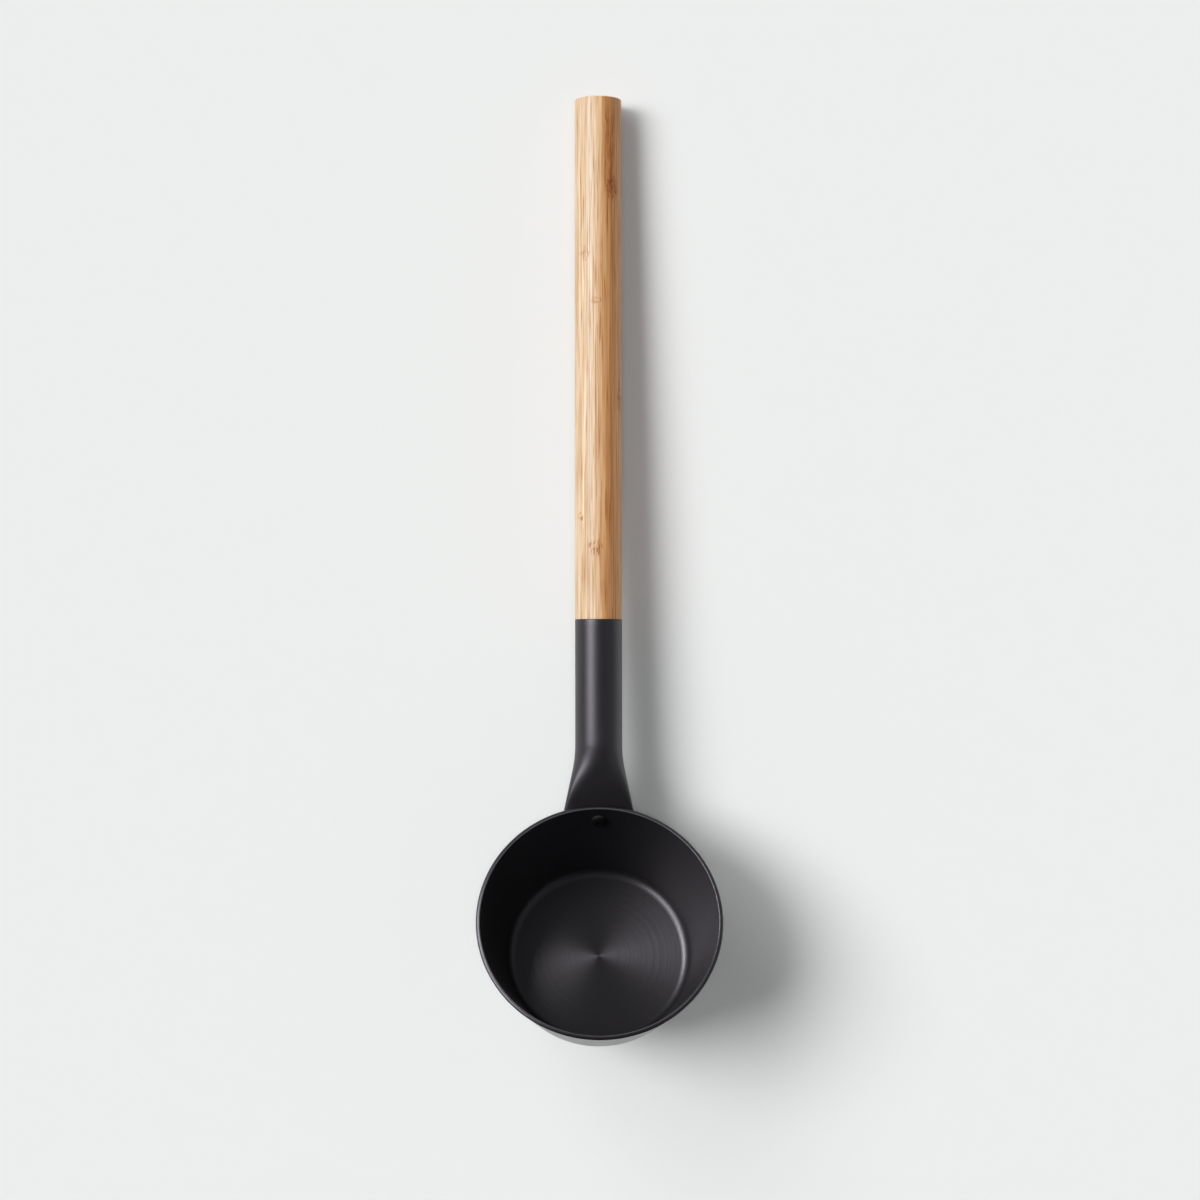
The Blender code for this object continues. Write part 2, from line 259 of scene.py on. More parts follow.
def makeFineGrain():
    # speckle of a given size with a slow drift of tone behind it
    group, given, end = newGroup("fineGrain", ["Vector"], ["Grain Size", "Drift Size"], ["Grain", "Drift"])
    grainScale = mathNode(group, "DIVIDE", 1.0, given["Grain Size"])
    driftScale = mathNode(group, "DIVIDE", 1.0, given["Drift Size"])
    plug(group, end, {"Grain": noise(group, given["Vector"], scale=grainScale, **effects["speckle"]),
                      "Drift": noise(group, given["Vector"], scale=driftScale, **effects["drift"])})
    return group


def makeTurnedLines():
    # fine rings round an axis: noise read along one line only, by distance
    group, given, end = newGroup("turnedLines", [], ["Distance", "Spacing"], ["Rings"])
    scaled = mathNode(group, "DIVIDE", given["Distance"], given["Spacing"])
    fine = addNode(group, "ShaderNodeTexNoise", {"W": scaled, **effects["rings"]}, noise_dimensions="1D")
    plug(group, end, {"Rings": fine.outputs["Fac"]})
    return group


fineGrain = makeFineGrain()
turnedLines = makeTurnedLines()


# Cup: black anodised aluminium, spun, so its fine lines run round the axis

cup = {
    "rimRadius": 0.0516,      # where the outer wall's line meets the rim's height
    "baseRadius": 0.0399,     # and where it meets the base
    "depth": 0.0446,
    "wall": 0.0018,
    "floorFillet": 0.0040,
    "rimEdge": 0.00028,       # rounding of the rim's inner edge
    "rimFall": 0.00090,       # and how far the rim falls from there to the outer wall
    "around": 288,
    "steps": {"floor": 44, "corner": 28, "inside": 40, "rimEdge": 10, "rimFall": 24, "outside": 40,
              "under": 24, "base": 30},
    "dark": (0.0042, 0.0038, 0.0044, 1.0),
    "light": (0.0066, 0.0060, 0.0070, 1.0),
    "glossTint": (1.0, 0.95, 1.04, 1.0),
    "ior": 1.57,
    "roughness": (0.33, 0.39),
    "outerRoughness": (0.20, 0.26),
    "outerSpan": (0.5, 0.2),  # the outer roughness sets in between these shares of the wall, from outside in
    "anisotropy": 0.65,
    "glossTurn": 0.25,        # a quarter turn: gloss is drawn out square to the lines
    "grainSize": 0.00018,
    "driftSize": 0.02,
    "grainShare": 0.5,        # how deep the grain is, set against the lines
    "lineSpacing": 0.00055,
    "lineDepth": 0.000004,
    "lineStrength": 0.6,
    "ringSpacing": 0.0017,    # wider rings, and how much deeper they are than the lines
    "ringDepth": 20.0,
    "rimHighlightColour": (0.10, 0.095, 0.105, 1.0),  # painted highlight on the rim's inner edge: paler, smoother and a little metallic
    "rimHighlightMetal": 0.22,
    "rimHighlightRoughness": 0.15,
    "rimHighlightDown": (1.2, 0.6),   # the painted highlight starts and is full this far under the rim's top, in rim edges
    "rimHighlightAcross": (2.0, 1.2),  # and this far from the inner wall
    "rimHighlightShare": (0.55, 1.0),  # how strong the painted highlight is from place to place
}
cupHeight = cup["depth"] + cup["wall"]
taper = math.atan2(cup["rimRadius"] - cup["baseRadius"], cupHeight)
cupAxes = axesUpright(-np.array(mounts["cup_base"]["axis"]))
cupOrigin = np.array(mounts["cup_base"]["pos_m"])


def makeBlackAnodised():
    material, tree, shader = newMaterial("blackAnodised")
    vector = localCoordinates(tree, cupAxes, cupOrigin)
    grain = useGroup(tree, fineGrain, {"Vector": vector, "Grain Size": cup["grainSize"],
                                       "Drift Size": cup["driftSize"]})
    uv = addNode(tree, "ShaderNodeUVMap", uv_map="around").outputs["UV"]
    along = splitVector(tree, uv)["Y"]
    lines = useGroup(tree, turnedLines, {"Distance": along, "Spacing": cup["lineSpacing"]})["Rings"]
    rings = useGroup(tree, turnedLines, {"Distance": along, "Spacing": cup["ringSpacing"]})["Rings"]

    # the outside, told by its distance from the axis less the wall's slope, is smoother than the inside
    x, y, z = splitVector(tree, vector)
    squares = mathNode(tree, "MULTIPLY_ADD", x, x, mathNode(tree, "MULTIPLY", y, y))
    level = mathNode(tree, "MULTIPLY_ADD", z, -math.tan(taper), mathNode(tree, "SQRT", squares))
    outerStart, outerFull = (cup["baseRadius"] - share * cup["wall"] for share in cup["outerSpan"])
    outside = mapRange(tree, level, outerStart, outerFull, smooth=True)
    inner = mapRange(tree, lines, *noiseSpan, *cup["roughness"])
    outer = mapRange(tree, lines, *noiseSpan, *cup["outerRoughness"])
    blur = blend(tree, outside, inner, outer)

    # a painted highlight on the rim's inner edge: its colour is paler there, and it is smoother and a little
    # metallic, more in some places than in others
    innerLevel = cup["baseRadius"] - cup["wall"] / math.cos(taper)
    topStart, topFull = (cupHeight - share * cup["rimEdge"] for share in cup["rimHighlightDown"])
    edgeStart, edgeFull = (innerLevel + share * cup["rimEdge"] for share in cup["rimHighlightAcross"])
    onTop = mapRange(tree, z, topStart, topFull, smooth=True)
    onEdge = mapRange(tree, level, edgeStart, edgeFull, smooth=True)
    highlightStrength = mapRange(tree, grain["Drift"], *noiseSpan, *cup["rimHighlightShare"])
    rimHighlight = mathNode(tree, "MULTIPLY", mathNode(tree, "MULTIPLY", onTop, onEdge), highlightStrength)

    tone = mixColour(tree, grain["Drift"], cup["dark"], cup["light"])
    height = mathNode(tree, "MULTIPLY_ADD", grain["Grain"], cup["grainShare"], lines)
    height = mathNode(tree, "MULTIPLY_ADD", rings, cup["ringDepth"], height)
    tangent = addNode(tree, "ShaderNodeTangent", direction_type="UV_MAP", uv_map="around")
    plug(tree, shader, {
        "Base Color": mixColour(tree, rimHighlight, tone, cup["rimHighlightColour"]),
        "Roughness": blend(tree, rimHighlight, blur, cup["rimHighlightRoughness"]),
        "Metallic": mathNode(tree, "MULTIPLY", rimHighlight, cup["rimHighlightMetal"]),
        "Normal": bumpNode(tree, height, cup["lineDepth"], cup["lineStrength"]),
        "Tangent": tangent.outputs[0],
        "Anisotropic": cup["anisotropy"],
        "Anisotropic Rotation": cup["glossTurn"],
        "IOR": cup["ior"],
        "Specular Tint": cup["glossTint"],
    })
    return material


def wallRadius(height, offset=0.0):
    # the outer wall's line, moved square to the wall by an offset
    return cup["baseRadius"] + height * math.tan(taper) + offset / math.cos(taper)


def filletReach(radius):
    # how far a corner arc starts from the corner between wall and floor
    return radius * math.tan((math.pi / 2 - taper) / 2)


def cupProfile():
    # along the floor, round the corner, up the wall, over the rim and down the outside to the base
    steps, wall = cup["steps"], cup["wall"]
    inner, outer = cup["floorFillet"], cup["floorFillet"] + wall
    floorEdge = wallRadius(wall, -wall) - filletReach(inner)
    baseEdge = cup["baseRadius"] - filletReach(outer)
    corner = arcRun((floorEdge, wall + inner), inner, -math.pi / 2, -taper, steps["corner"])
    under = arcRun((baseEdge, outer), outer, -taper, -math.pi / 2, steps["under"])
    # the rim: a small round at its inner edge, then a longer one that falls to the outer wall
    edge, fall = cup["rimEdge"], cup["rimFall"]
    innerLevel, outerLevel = cupHeight - edge, cupHeight - fall
    innerRim = (wallRadius(innerLevel, edge - wall), innerLevel)
    rimIn = arcRun(innerRim, edge, math.pi - taper, math.pi / 2, steps["rimEdge"])
    rimSize = np.array([wallRadius(outerLevel) - rimIn[-1, 0], fall])
    quarter = arcRun((0, 0), 1, math.pi / 2, 0.0, steps["rimFall"])
    rimOut = np.array([rimIn[-1, 0], outerLevel]) + rimSize * quarter
    return joinRuns(
        straightRun((0.0, wall), corner[0], steps["floor"]), corner,
        straightRun(corner[-1], rimIn[0], steps["inside"]), rimIn, rimOut,
        straightRun(rimOut[-1], under[0], steps["outside"]), under,
        straightRun(under[-1], (0.0, 0.0), steps["base"]))


def cupRings():
    return toWorld(turned(cupProfile(), cup["around"]), cupAxes, cupOrigin)


# Handle: a turned bar of laminated bamboo, with a tenon that goes into the neck

handle = {
    "radius": 0.0100,
    "length": 0.2224,
    "endRound": 0.0003,
    "jointRound": 0.00015,
    "jointGap": 0.00004,      # between the wood's shoulder and the neck
    "tenonRadius": 0.0070,
    "tenonLength": 0.0360,
    "tenonChamfer": 0.0010,
    "boreRadius": 0.0033,
    "boreDepth": 0.0283,
    "around": 160,
    "steps": {"end": 16, "endRound": 10, "bar": 96, "jointRound": 6, "shoulder": 8, "tenon": 16,
              "chamfer": 4, "tip": 6, "bore": 12, "boreEnd": 6},
    "stripWidth": 0.0066,
    "stripEdge": -0.0047,     # where one glue line runs, across the bar
    "stripBlend": 0.012,      # half the width of the change from strip to strip, in strips
    "glueFade": (0.022, 0.008),  # from the glue line's middle to where it starts and is full, in strips
    # tone across the bar, at places from one side to the other, and each strip's own part of it: partly the
    # wood's own strip tones, partly painted shade that makes the right side darker and more orange, and a
    # painted highlight in the pale band left of the middle
    "tonesAndPaintedLight": ((-0.0087, (0.715, 0.550, 0.374, 1.0)), (-0.0066, (0.722, 0.540, 0.356, 1.0)),
              (-0.0041, (0.694, 0.555, 0.408, 1.0)), (-0.0015, (0.712, 0.500, 0.306, 1.0)),
              (0.0011, (0.750, 0.475, 0.243, 1.0)), (0.0036, (0.640, 0.320, 0.122, 1.0)),
              (0.0062, (0.605, 0.293, 0.118, 1.0)), (0.0083, (0.850, 0.465, 0.205, 1.0))),
    "stripTints": ((1.00, 0.99, 0.98, 1.0), (1.00, 1.01, 1.02, 1.0), (0.99, 0.98, 0.97, 1.0),
                   (1.01, 1.00, 0.99, 1.0)),
    # noise drawn out along the bar: waves to the metre across and along, and how far they move on by strip
    "fibre": {"across": 1250.0, "along": 18.0, "shift": 7.3, "detail": 4.0, "roughness": 0.62},
    "streak": {"across": 2100.0, "along": 44.0, "shift": 3.1, "detail": 2.0, "roughness": 0.50},
    "drift": {"across": 150.0, "along": 26.0, "shift": 5.7, "detail": 2.0, "roughness": 0.50},
    "fibreSpan": (0.32, 0.68),
    "fibreTint": ((0.72, 0.53, 0.34, 1.0), (1.17, 1.27, 1.39, 1.0)),
    "streakSpan": (0.56, 0.68),
    "streakTint": (0.66, 0.47, 0.30, 1.0),
    "paleSpan": (0.42, 0.30),
    "paleTint": (1.08, 1.15, 1.26, 1.0),
    "driftShare": (0.94, 1.05),  # slow change of brightness along each strip
    "glueTint": (0.84, 0.75, 0.64, 1.0),
    "fleckTint": (0.66, 0.42, 0.22, 1.0),
    "shadeTint": (0.62, 0.45, 0.33, 1.0),
    "bounceTint": (0.50, 0.34, 0.25, 1.0),  # the part of its colour that the wood throws on the floor
    # fibres wander a little along the bar, and ripple where a mark pushes them aside
    "wander": {"perMetre": (60.0, 30.0, 60.0), "detail": 2.0},
    "wanderReach": 0.0006,
    "ripple": {"perMetre": (150.0, 120.0, 150.0), "detail": 1.0},
    "rippleReach": 0.0030,
    # growth marks: across and along from the joint, half width, half length, strength of flecks and of shade
    "marks": ((-0.0056, 0.1557, 0.0030, 0.0042, 0.55, 0.0), (-0.0012, 0.1354, 0.0030, 0.0018, 0.9, 0.10),
              (0.0058, 0.1838, 0.0032, 0.0070, 0.70, 0.55), (-0.0073, 0.0437, 0.0020, 0.0022, 1.0, 0.05),
              (-0.0012, 0.0302, 0.0040, 0.0042, 1.0, 0.08), (0.0088, 0.0950, 0.0010, 0.0090, 0.5, 0.45)),
    "markFade": (1.0, 0.3),   # where a mark's oval starts and is full, in half sizes
    "markEdge": {"perMetre": (700.0, 400.0, 0.0), "detail": 1.0},
    "markRagged": 0.9,        # how far the flecks' edge wanders in and out, in half sizes
    "markEdgeFade": (1.0, 0.5),
    "dashes": {"perMetre": (1800.0, 460.0, 0.0), "detail": 1.0},
    "dashSpan": (0.47, 0.58),
    "swirl": (0.0044, 0.2010, 0.0036, 0.0270),  # darker, wavy fibres by one of the marks
    "swirlShade": 0.15,
    "swirlStreaks": -0.20,    # how much sooner streaks start in the swirl
    "roughness": (0.42, 0.54),
    "ior": 1.45,
    "fibreDepth": 0.00003,
    "fibreStrength": 0.5,
}
barAlong = np.array(mounts["handle_end"]["axis"]) / np.linalg.norm(mounts["handle_end"]["axis"])
barAxes = np.stack([sideways, barAlong, np.cross(sideways, barAlong)], axis=1)
joint = np.array(mounts["handle_end"]["pos_m"]) - handle["length"] * barAlong


def makeGrowthMark():
    # where a leaf grew on the cane: a soft oval, and in it short flecks along the fibres with a ragged edge
    group, given, end = newGroup("growthMark", ["Vector", "Place", "Size"], [], ["Oval", "Flecks"])
    offset = vectorNode(group, "SUBTRACT", given["Vector"], given["Place"])[0]
    offset = vectorNode(group, "DIVIDE", offset, given["Size"])[0]
    reach = addNode(group, "ShaderNodeVectorMath", {0: offset}, operation="LENGTH").outputs["Value"]
    inside = mathNode(group, "SUBTRACT", reach, noiseMiddle * handle["markRagged"])
    ragged = stretchedNoise(group, given["Vector"], **handle["markEdge"])
    edge = mathNode(group, "MULTIPLY_ADD", ragged, handle["markRagged"], inside)
    dashes = mapRange(group, stretchedNoise(group, given["Vector"], **handle["dashes"]), *handle["dashSpan"])
    within = mapRange(group, edge, *handle["markEdgeFade"], smooth=True)
    plug(group, end, {"Oval": mapRange(group, reach, *handle["markFade"], smooth=True),
                      "Flecks": mathNode(group, "MULTIPLY", dashes, within)})
    return group


growthMark = makeGrowthMark()


def makeBamboo():
    material, tree, shader = newMaterial("bamboo")
    vector = localCoordinates(tree, barAxes, joint)

    def markAt(across, along, wide, long):
        # a mark lies on the upper side, and its depth keeps it off the lower side
        upper = math.sqrt(handle["radius"] ** 2 - across ** 2)
        return useGroup(tree, growthMark, {"Vector": vector, "Place": (across, along, upper),
                                           "Size": (wide, long, handle["radius"])})

    swirl = markAt(*handle["swirl"])["Oval"]
    ovals, flecks, shade = swirl, 0.0, mathNode(tree, "MULTIPLY", swirl, handle["swirlShade"])
    for *where, fleckShare, shadeShare in handle["marks"]:
        mark = markAt(*where)
        ovals = mathNode(tree, "MULTIPLY_ADD", mark["Oval"], fleckShare, ovals)
        flecks = mathNode(tree, "MULTIPLY_ADD", mark["Flecks"], fleckShare, flecks)
        shade = mathNode(tree, "MULTIPLY_ADD", mark["Oval"], shadeShare, shade)

    # where a fibre would lie across the bar if it ran straight
    x, y, z = splitVector(tree, vector)
    wander = mathNode(tree, "SUBTRACT", stretchedNoise(tree, vector, **handle["wander"]), noiseMiddle)
    ripple = mathNode(tree, "SUBTRACT", stretchedNoise(tree, vector, **handle["ripple"]), noiseMiddle)
    push = mathNode(tree, "MULTIPLY", ovals, handle["rippleReach"])
    bent = mathNode(tree, "MULTIPLY_ADD", wander, handle["wanderReach"], x)
    bent = mathNode(tree, "MULTIPLY_ADD", ripple, push, bent)

    # strips side by side, each with its own tint and its own run of fibres
    place = mathNode(tree, "SUBTRACT", x, handle["stripEdge"])
    place = mathNode(tree, "DIVIDE", place, handle["stripWidth"])
    tint, count = handle["stripTints"][0], 0.0
    for number, stripTint in enumerate(handle["stripTints"][1:]):
        past = mapRange(tree, place, number - handle["stripBlend"], number + handle["stripBlend"])
        tint = mixColour(tree, past, tint, stripTint)
        count = mathNode(tree, "ADD", past, count)
    fromGlue = mathNode(tree, "SUBTRACT", place, mathNode(tree, "ROUND", place))
    glue = mapRange(tree, mathNode(tree, "ABSOLUTE", fromGlue), *handle["glueFade"])

    def runs(across, along, shift, detail, roughness):
        # noise drawn out along the bar, moved on from strip to strip
        moved = mathNode(tree, "MULTIPLY_ADD", count, shift, mathNode(tree, "MULTIPLY", y, along))
        parts = {"X": mathNode(tree, "MULTIPLY", bent, across), "Y": moved,
                 "Z": mathNode(tree, "MULTIPLY", z, across)}
        return noise(tree, addNode(tree, "ShaderNodeCombineXYZ", parts).outputs[0], detail, roughness)

    fibre = mapRange(tree, runs(**handle["fibre"]), *handle["fibreSpan"])
    line = runs(**handle["streak"])
    streakStart, streakFull = handle["streakSpan"]
    streakFrom = mathNode(tree, "MULTIPLY_ADD", swirl, handle["swirlStreaks"], streakStart)
    streak = mapRange(tree, line, streakFrom, streakFull)
    pale = mapRange(tree, line, *handle["paleSpan"])
    drift = mapRange(tree, runs(**handle["drift"]), *noiseSpan, *handle["driftShare"])

    # the tone across the bar, with its painted shade on the right and its painted highlight left of the
    # middle, tinted by each of these in turn
    tone = handle["tonesAndPaintedLight"][0][1]
    for (low, _), (high, further) in zip(handle["tonesAndPaintedLight"], handle["tonesAndPaintedLight"][1:]):
        tone = mixColour(tree, mapRange(tree, x, low, high), tone, further)
    bounced = addNode(tree, "ShaderNodeLightPath").outputs["Is Diffuse Ray"]
    for share, colour in ((1.0, tint), (1.0, mixColour(tree, fibre, *handle["fibreTint"])), (1.0, drift),
                          (pale, handle["paleTint"]), (streak, handle["streakTint"]),
                          (glue, handle["glueTint"]), (shade, handle["shadeTint"]),
                          (flecks, handle["fleckTint"]), (bounced, handle["bounceTint"])):
        tone = mixColour(tree, share, tone, colour, "MULTIPLY")

    height = mathNode(tree, "SUBTRACT", mathNode(tree, "SUBTRACT", fibre, streak), flecks)
    plug(tree, shader, {
        "Base Color": tone,
        "Roughness": mapRange(tree, fibre, 0.0, 1.0, *handle["roughness"]),
        "Normal": bumpNode(tree, height, handle["fibreDepth"], handle["fibreStrength"]),
        "IOR": handle["ior"],
    })
    return material


def handleProfile():
    # from the end's middle over its edge, along the bar, in at the shoulder, along the tenon and up its bore
    steps = handle["steps"]
    bar, end, edge = handle["radius"], handle["length"], handle["endRound"]
    gap, ease, chamfer = handle["jointGap"], handle["jointRound"], handle["tenonChamfer"]
    tenon, tip, bore = handle["tenonRadius"], -handle["tenonLength"], handle["boreRadius"]
    boreEnd = tip + handle["boreDepth"]
    return joinRuns(
        straightRun((0.0, end), (bar - edge, end), steps["end"]),
        arcRun((bar - edge, end - edge), edge, math.pi / 2, 0.0, steps["endRound"]),
        straightRun((bar, end - edge), (bar, gap + ease), steps["bar"]),
        arcRun((bar - ease, gap + ease), ease, 0.0, -math.pi / 2, steps["jointRound"]),
        straightRun((bar - ease, gap), (tenon, gap), steps["shoulder"]),
        straightRun((tenon, gap), (tenon, tip + chamfer), steps["tenon"]),
        straightRun((tenon, tip + chamfer), (tenon - chamfer, tip), steps["chamfer"]),
        straightRun((tenon - chamfer, tip), (bore, tip), steps["tip"]),
        straightRun((bore, tip), (bore, boreEnd), steps["bore"]),
        straightRun((bore, boreEnd), (0.0, boreEnd), steps["boreEnd"]))


def handleRings():
    # the turned profile, laid with its axis along the bar
    rings = turned(handleProfile(), handle["around"])
    return toWorld(np.stack([rings[..., 1], rings[..., 2], rings[..., 0]], axis=-1), barAxes, joint)


# Neck: one moulding, round at the wood and wide and flat where it sits on the cup

neck = {
    "length": 0.0836,         # from the wood to the cup's wall, along the handle's axis
    "edgeRound": 0.0002,
    "socketGap": 0.0003,      # round the handle's tenon and past its tip
    "flareLength": 0.0307,
    "flareBlend": 0.0113,
    "rootWidth": 0.0306,
    "rootTop": 0.0030,
    "rootBottom": 0.0082,
    "rootSquareness": 18.0,
    "heightPower": 1.35,      # how late in the flare the heights and the squareness change
    "squarenessPower": 2.8,
    "rootDrop": 0.0079,       # the handle's axis meets the wall this far under the rim
    "seatGap": 0.00006,
    "seatReach": 1.6,         # the seat is looked for up to this many lengths from the wood
    "halvings": 40,
    "around": 216,
    "steps": {"socketEnd": 8, "socket": 12, "face": 8, "edge": 6, "barrel": 23, "flare": 72, "seat": 14},
    "dark": (0.0013, 0.0011, 0.0014, 1.0),
    "light": (0.0025, 0.0021, 0.0026, 1.0),
    "glossTint": (1.0, 0.95, 1.04, 1.0),
    "ior": 1.70,
    "roughness": (0.39, 0.45),
    "grainSize": 0.00032,
    "driftSize": 0.015,
    "grainDepth": 0.000010,
    "grainStrength": 0.5,
}
flareStart = neck["length"] - neck["flareLength"]


def makeBlackMoulded():
    material, tree, shader = newMaterial("blackMoulded")
    vector = localCoordinates(tree, barAxes, joint)
    grain = useGroup(tree, fineGrain, {"Vector": vector, "Grain Size": neck["grainSize"],
                                       "Drift Size": neck["driftSize"]})
    plug(tree, shader, {
        "Base Color": mixColour(tree, grain["Drift"], neck["dark"], neck["light"]),
        "Roughness": mapRange(tree, grain["Drift"], *noiseSpan, *neck["roughness"]),
        "Normal": bumpNode(tree, grain["Grain"], neck["grainDepth"], neck["grainStrength"]),
        "IOR": neck["ior"],
        "Specular Tint": neck["glossTint"],
    })
    return material


def neckSection(along, angle):
    # a superellipse at a distance from the wood; its half width follows the bar, then a parabolic bend, then
    # a straight line to the root, and its heights and squareness change to the root's by powers of that way
    bar, length, curve = handle["radius"], neck["flareLength"], neck["flareBlend"]
    past = np.maximum(along - flareStart, 0.0)
    bend = np.minimum(past, curve)
    share = (bend * bend / (2 * curve) + past - bend) / (length - curve / 2)
    across = bar + (neck["rootWidth"] / 2 - bar) * share
    gone = past / length
    root = np.where(np.sin(angle) > 0, neck["rootTop"], neck["rootBottom"])
    tall = bar + (root - bar) * gone ** neck["heightPower"]
    power = 2 + (neck["rootSquareness"] - 2) * gone ** neck["squarenessPower"]
    reach = (np.abs(np.cos(angle)) ** power + np.abs(np.sin(angle)) ** power) ** (-1 / power)
    x, z = across * reach * np.cos(angle), tall * reach * np.sin(angle)
    return np.stack(np.broadcast_arrays(x, -along, z), axis=-1)


def outsideCup(points):
    # how far points of the bar's own frame lie outside the cup's wall, less the seat's gap
    inCup = (toWorld(points, barAxes, joint) - cupOrigin) @ cupAxes
    return np.hypot(inCup[..., 0], inCup[..., 1]) - wallRadius(inCup[..., 2], neck["seatGap"])


def meetCup(pointsAt, near, far):
    # halving steps between distances from the wood, one outside the cup's wall and one past it
    for _ in range(neck["halvings"]):
        middle = (near + far) / 2
        outside = outsideCup(pointsAt(middle)) > 0
        near, far = np.where(outside, middle, near), np.where(outside, far, middle)
    return near


def neckRings():
    # up the tenon's socket, over the face at the wood, along the outside and across the seat
    steps, angle = neck["steps"], anglesRound(neck["around"])
    bar, edge = handle["radius"], neck["edgeRound"]
    socket = handle["tenonRadius"] + neck["socketGap"]
    deep = handle["tenonLength"] + neck["socketGap"]
    mouth = joinRuns(
        straightRun((0.0, -deep), (socket, -deep), steps["socketEnd"]),
        straightRun((socket, -deep), (socket, 0.0), steps["socket"]),
        straightRun((socket, 0.0), (bar - edge, 0.0), steps["face"]),
        arcRun((bar - edge, -edge), edge, math.pi / 2, 0.0, steps["edge"]))
    front = ringsAt(mouth[:, :1], mouth[:, 1:], angle)[..., [0, 2, 1]]
    barrel = neckSection(onward(edge, flareStart, steps["barrel"]), angle)
    start = np.full(angle.shape, flareStart)
    end = meetCup(lambda along: neckSection(along, angle), start, start + 2 * neck["flareLength"])
    flare = neckSection(start + onward(0.0, 1.0, steps["flare"]) * (end - start), angle)

    # the seat: the end ring drawn in towards its middle, each point slid along the bar onto the wall
    ring = flare[-1]
    middle = ring.mean(axis=0)
    drawn = middle + onward(1.0, 0.0, steps["seat"])[..., None] * (ring - middle)

    def slid(along):
        return np.stack([drawn[..., 0], -along, drawn[..., 2]], axis=-1)

    near = np.full(drawn.shape[:2], flareStart / 2)
    far = np.full(drawn.shape[:2], neck["seatReach"] * neck["length"])
    rings = np.concatenate([front, barrel, flare, slid(meetCup(slid, near, far))])
    return toWorld(rings, barAxes, joint)


# Screw: a domed head with a hexagon socket, in the cup's wall where the neck is

screw = {
    "headRadius": 0.0032,
    "headHeight": 0.0011,
    "edgeRound": 0.00025,
    "socketSides": 6,
    "socketWidth": 0.0020,
    "socketDepth": 0.0006,
    "shankRadius": 0.00175,
    "length": 0.0100,
    "tipChamfer": 0.0004,
    "seat": 0.0029,           # from the cup's outer wall in to the head's underside
    "around": 96,
    "steps": {"tip": 4, "chamfer": 4, "shank": 8, "underHead": 6, "edge": 6, "dome": 24, "socket": 6,
              "socketEnd": 6},
    "dark": (0.002, 0.0018, 0.002, 1.0),
    "light": (0.004, 0.0037, 0.0041, 1.0),
    "ior": 1.25,
    "roughness": (0.55, 0.70),
    "grainSize": 0.0002,
    "driftSize": 0.002,
}
seatHeight = cupHeight - neck["rootDrop"] * math.cos(taper)
screwOrigin = toWorld(np.array([0.0, wallRadius(seatHeight), seatHeight]), cupAxes, cupOrigin)
screwAxes = axesUpright(cupAxes @ np.array([0.0, math.cos(taper), -math.sin(taper)]))


def makeBlackenedSteel():
    material, tree, shader = newMaterial("blackenedSteel")
    grain = useGroup(tree, fineGrain, {"Vector": objectCoordinates(tree), "Grain Size": screw["grainSize"],
                                       "Drift Size": screw["driftSize"]})
    plug(tree, shader, {
        "Base Color": mixColour(tree, grain["Drift"], screw["dark"], screw["light"]),
        "Roughness": mapRange(tree, grain["Grain"], *noiseSpan, *screw["roughness"]),
        "IOR": screw["ior"],
    })
    return material


def screwRings():
    # shank and head are turned; over the head the rings go from a circle to the hexagon, then down its walls
    steps, angle = screw["steps"], anglesRound(screw["around"])
    head, tall, edge = screw["headRadius"], screw["headHeight"], screw["edgeRound"]
    shank, chamfer, low = screw["shankRadius"], screw["tipChamfer"], -screw["seat"]
    tip = low + screw["length"]
    stem = joinRuns(
        straightRun((0.0, tip), (shank - chamfer, tip), steps["tip"]),
        straightRun((shank - chamfer, tip), (shank, tip - chamfer), steps["chamfer"]),
        straightRun((shank, tip - chamfer), (shank, low), steps["shank"]),
        straightRun((shank, low), (head - edge, low), steps["underHead"]),
        arcRun((head - edge, low - edge), edge, math.pi / 2, 0.0, steps["edge"]))
    # the dome: a flattened round crown, as deep as the head less its edge
    sector = 2 * np.pi / screw["socketSides"]
    hexagon = screw["socketWidth"] / 2 / np.cos((angle + sector / 2) % sector - sector / 2)
    radius = head + onward(0.0, 1.0, steps["dome"]) * (hexagon - head)
    crown = low - edge - (tall - edge) * np.sqrt(np.clip(1 - (radius / head) ** 2, 0.0, 1.0))
    bottom = low - tall + screw["socketDepth"]
    level = crown[-1] + onward(0.0, 1.0, steps["socket"]) * (bottom - crown[-1])
    rings = np.concatenate([
        turned(stem, screw["around"]),
        ringsAt(radius, crown, angle),
        ringsAt(hexagon, level, angle),
        ringsAt(onward(1.0, 0.0, steps["socketEnd"]) * hexagon, bottom, angle)])
    return toWorld(rings, screwAxes, screwOrigin)


# The four pieces that show

skin("cupShell", cupRings(), makeBlackAnodised(), "cup")
skin("neckShell", neckRings(), makeBlackMoulded(), "neck")
skin("handleBar", handleRings(), makeBamboo(), "handle")
skin("cupScrew", screwRings(), makeBlackenedSteel(), "cup_screw")


# Fittings out of sight keep their CAD shapes and get worked-metal and rubber looks

fittings = {
    "brass": {"dark": (0.52, 0.33, 0.10, 1.0), "light": (0.72, 0.50, 0.19, 1.0), "metallic": 1.0,
              "roughness": (0.22, 0.42), "spacing": 0.0003, "depth": 0.00001},
    "brightSteel": {"dark": (0.38, 0.38, 0.39, 1.0), "light": (0.60, 0.60, 0.61, 1.0), "metallic": 1.0,
                    "roughness": (0.20, 0.38), "spacing": 0.0004, "depth": 0.00001},
    "blackRubber": {"dark": (0.008, 0.008, 0.008, 1.0), "light": (0.020, 0.020, 0.020, 1.0), "metallic": 0.0,
                    "roughness": (0.62, 0.82), "spacing": 0.0006, "depth": 0.00002},
}
fittingGrain = {"Grain Size": 0.0003, "Drift Size": 0.003}
fittingLineStrength = 0.6


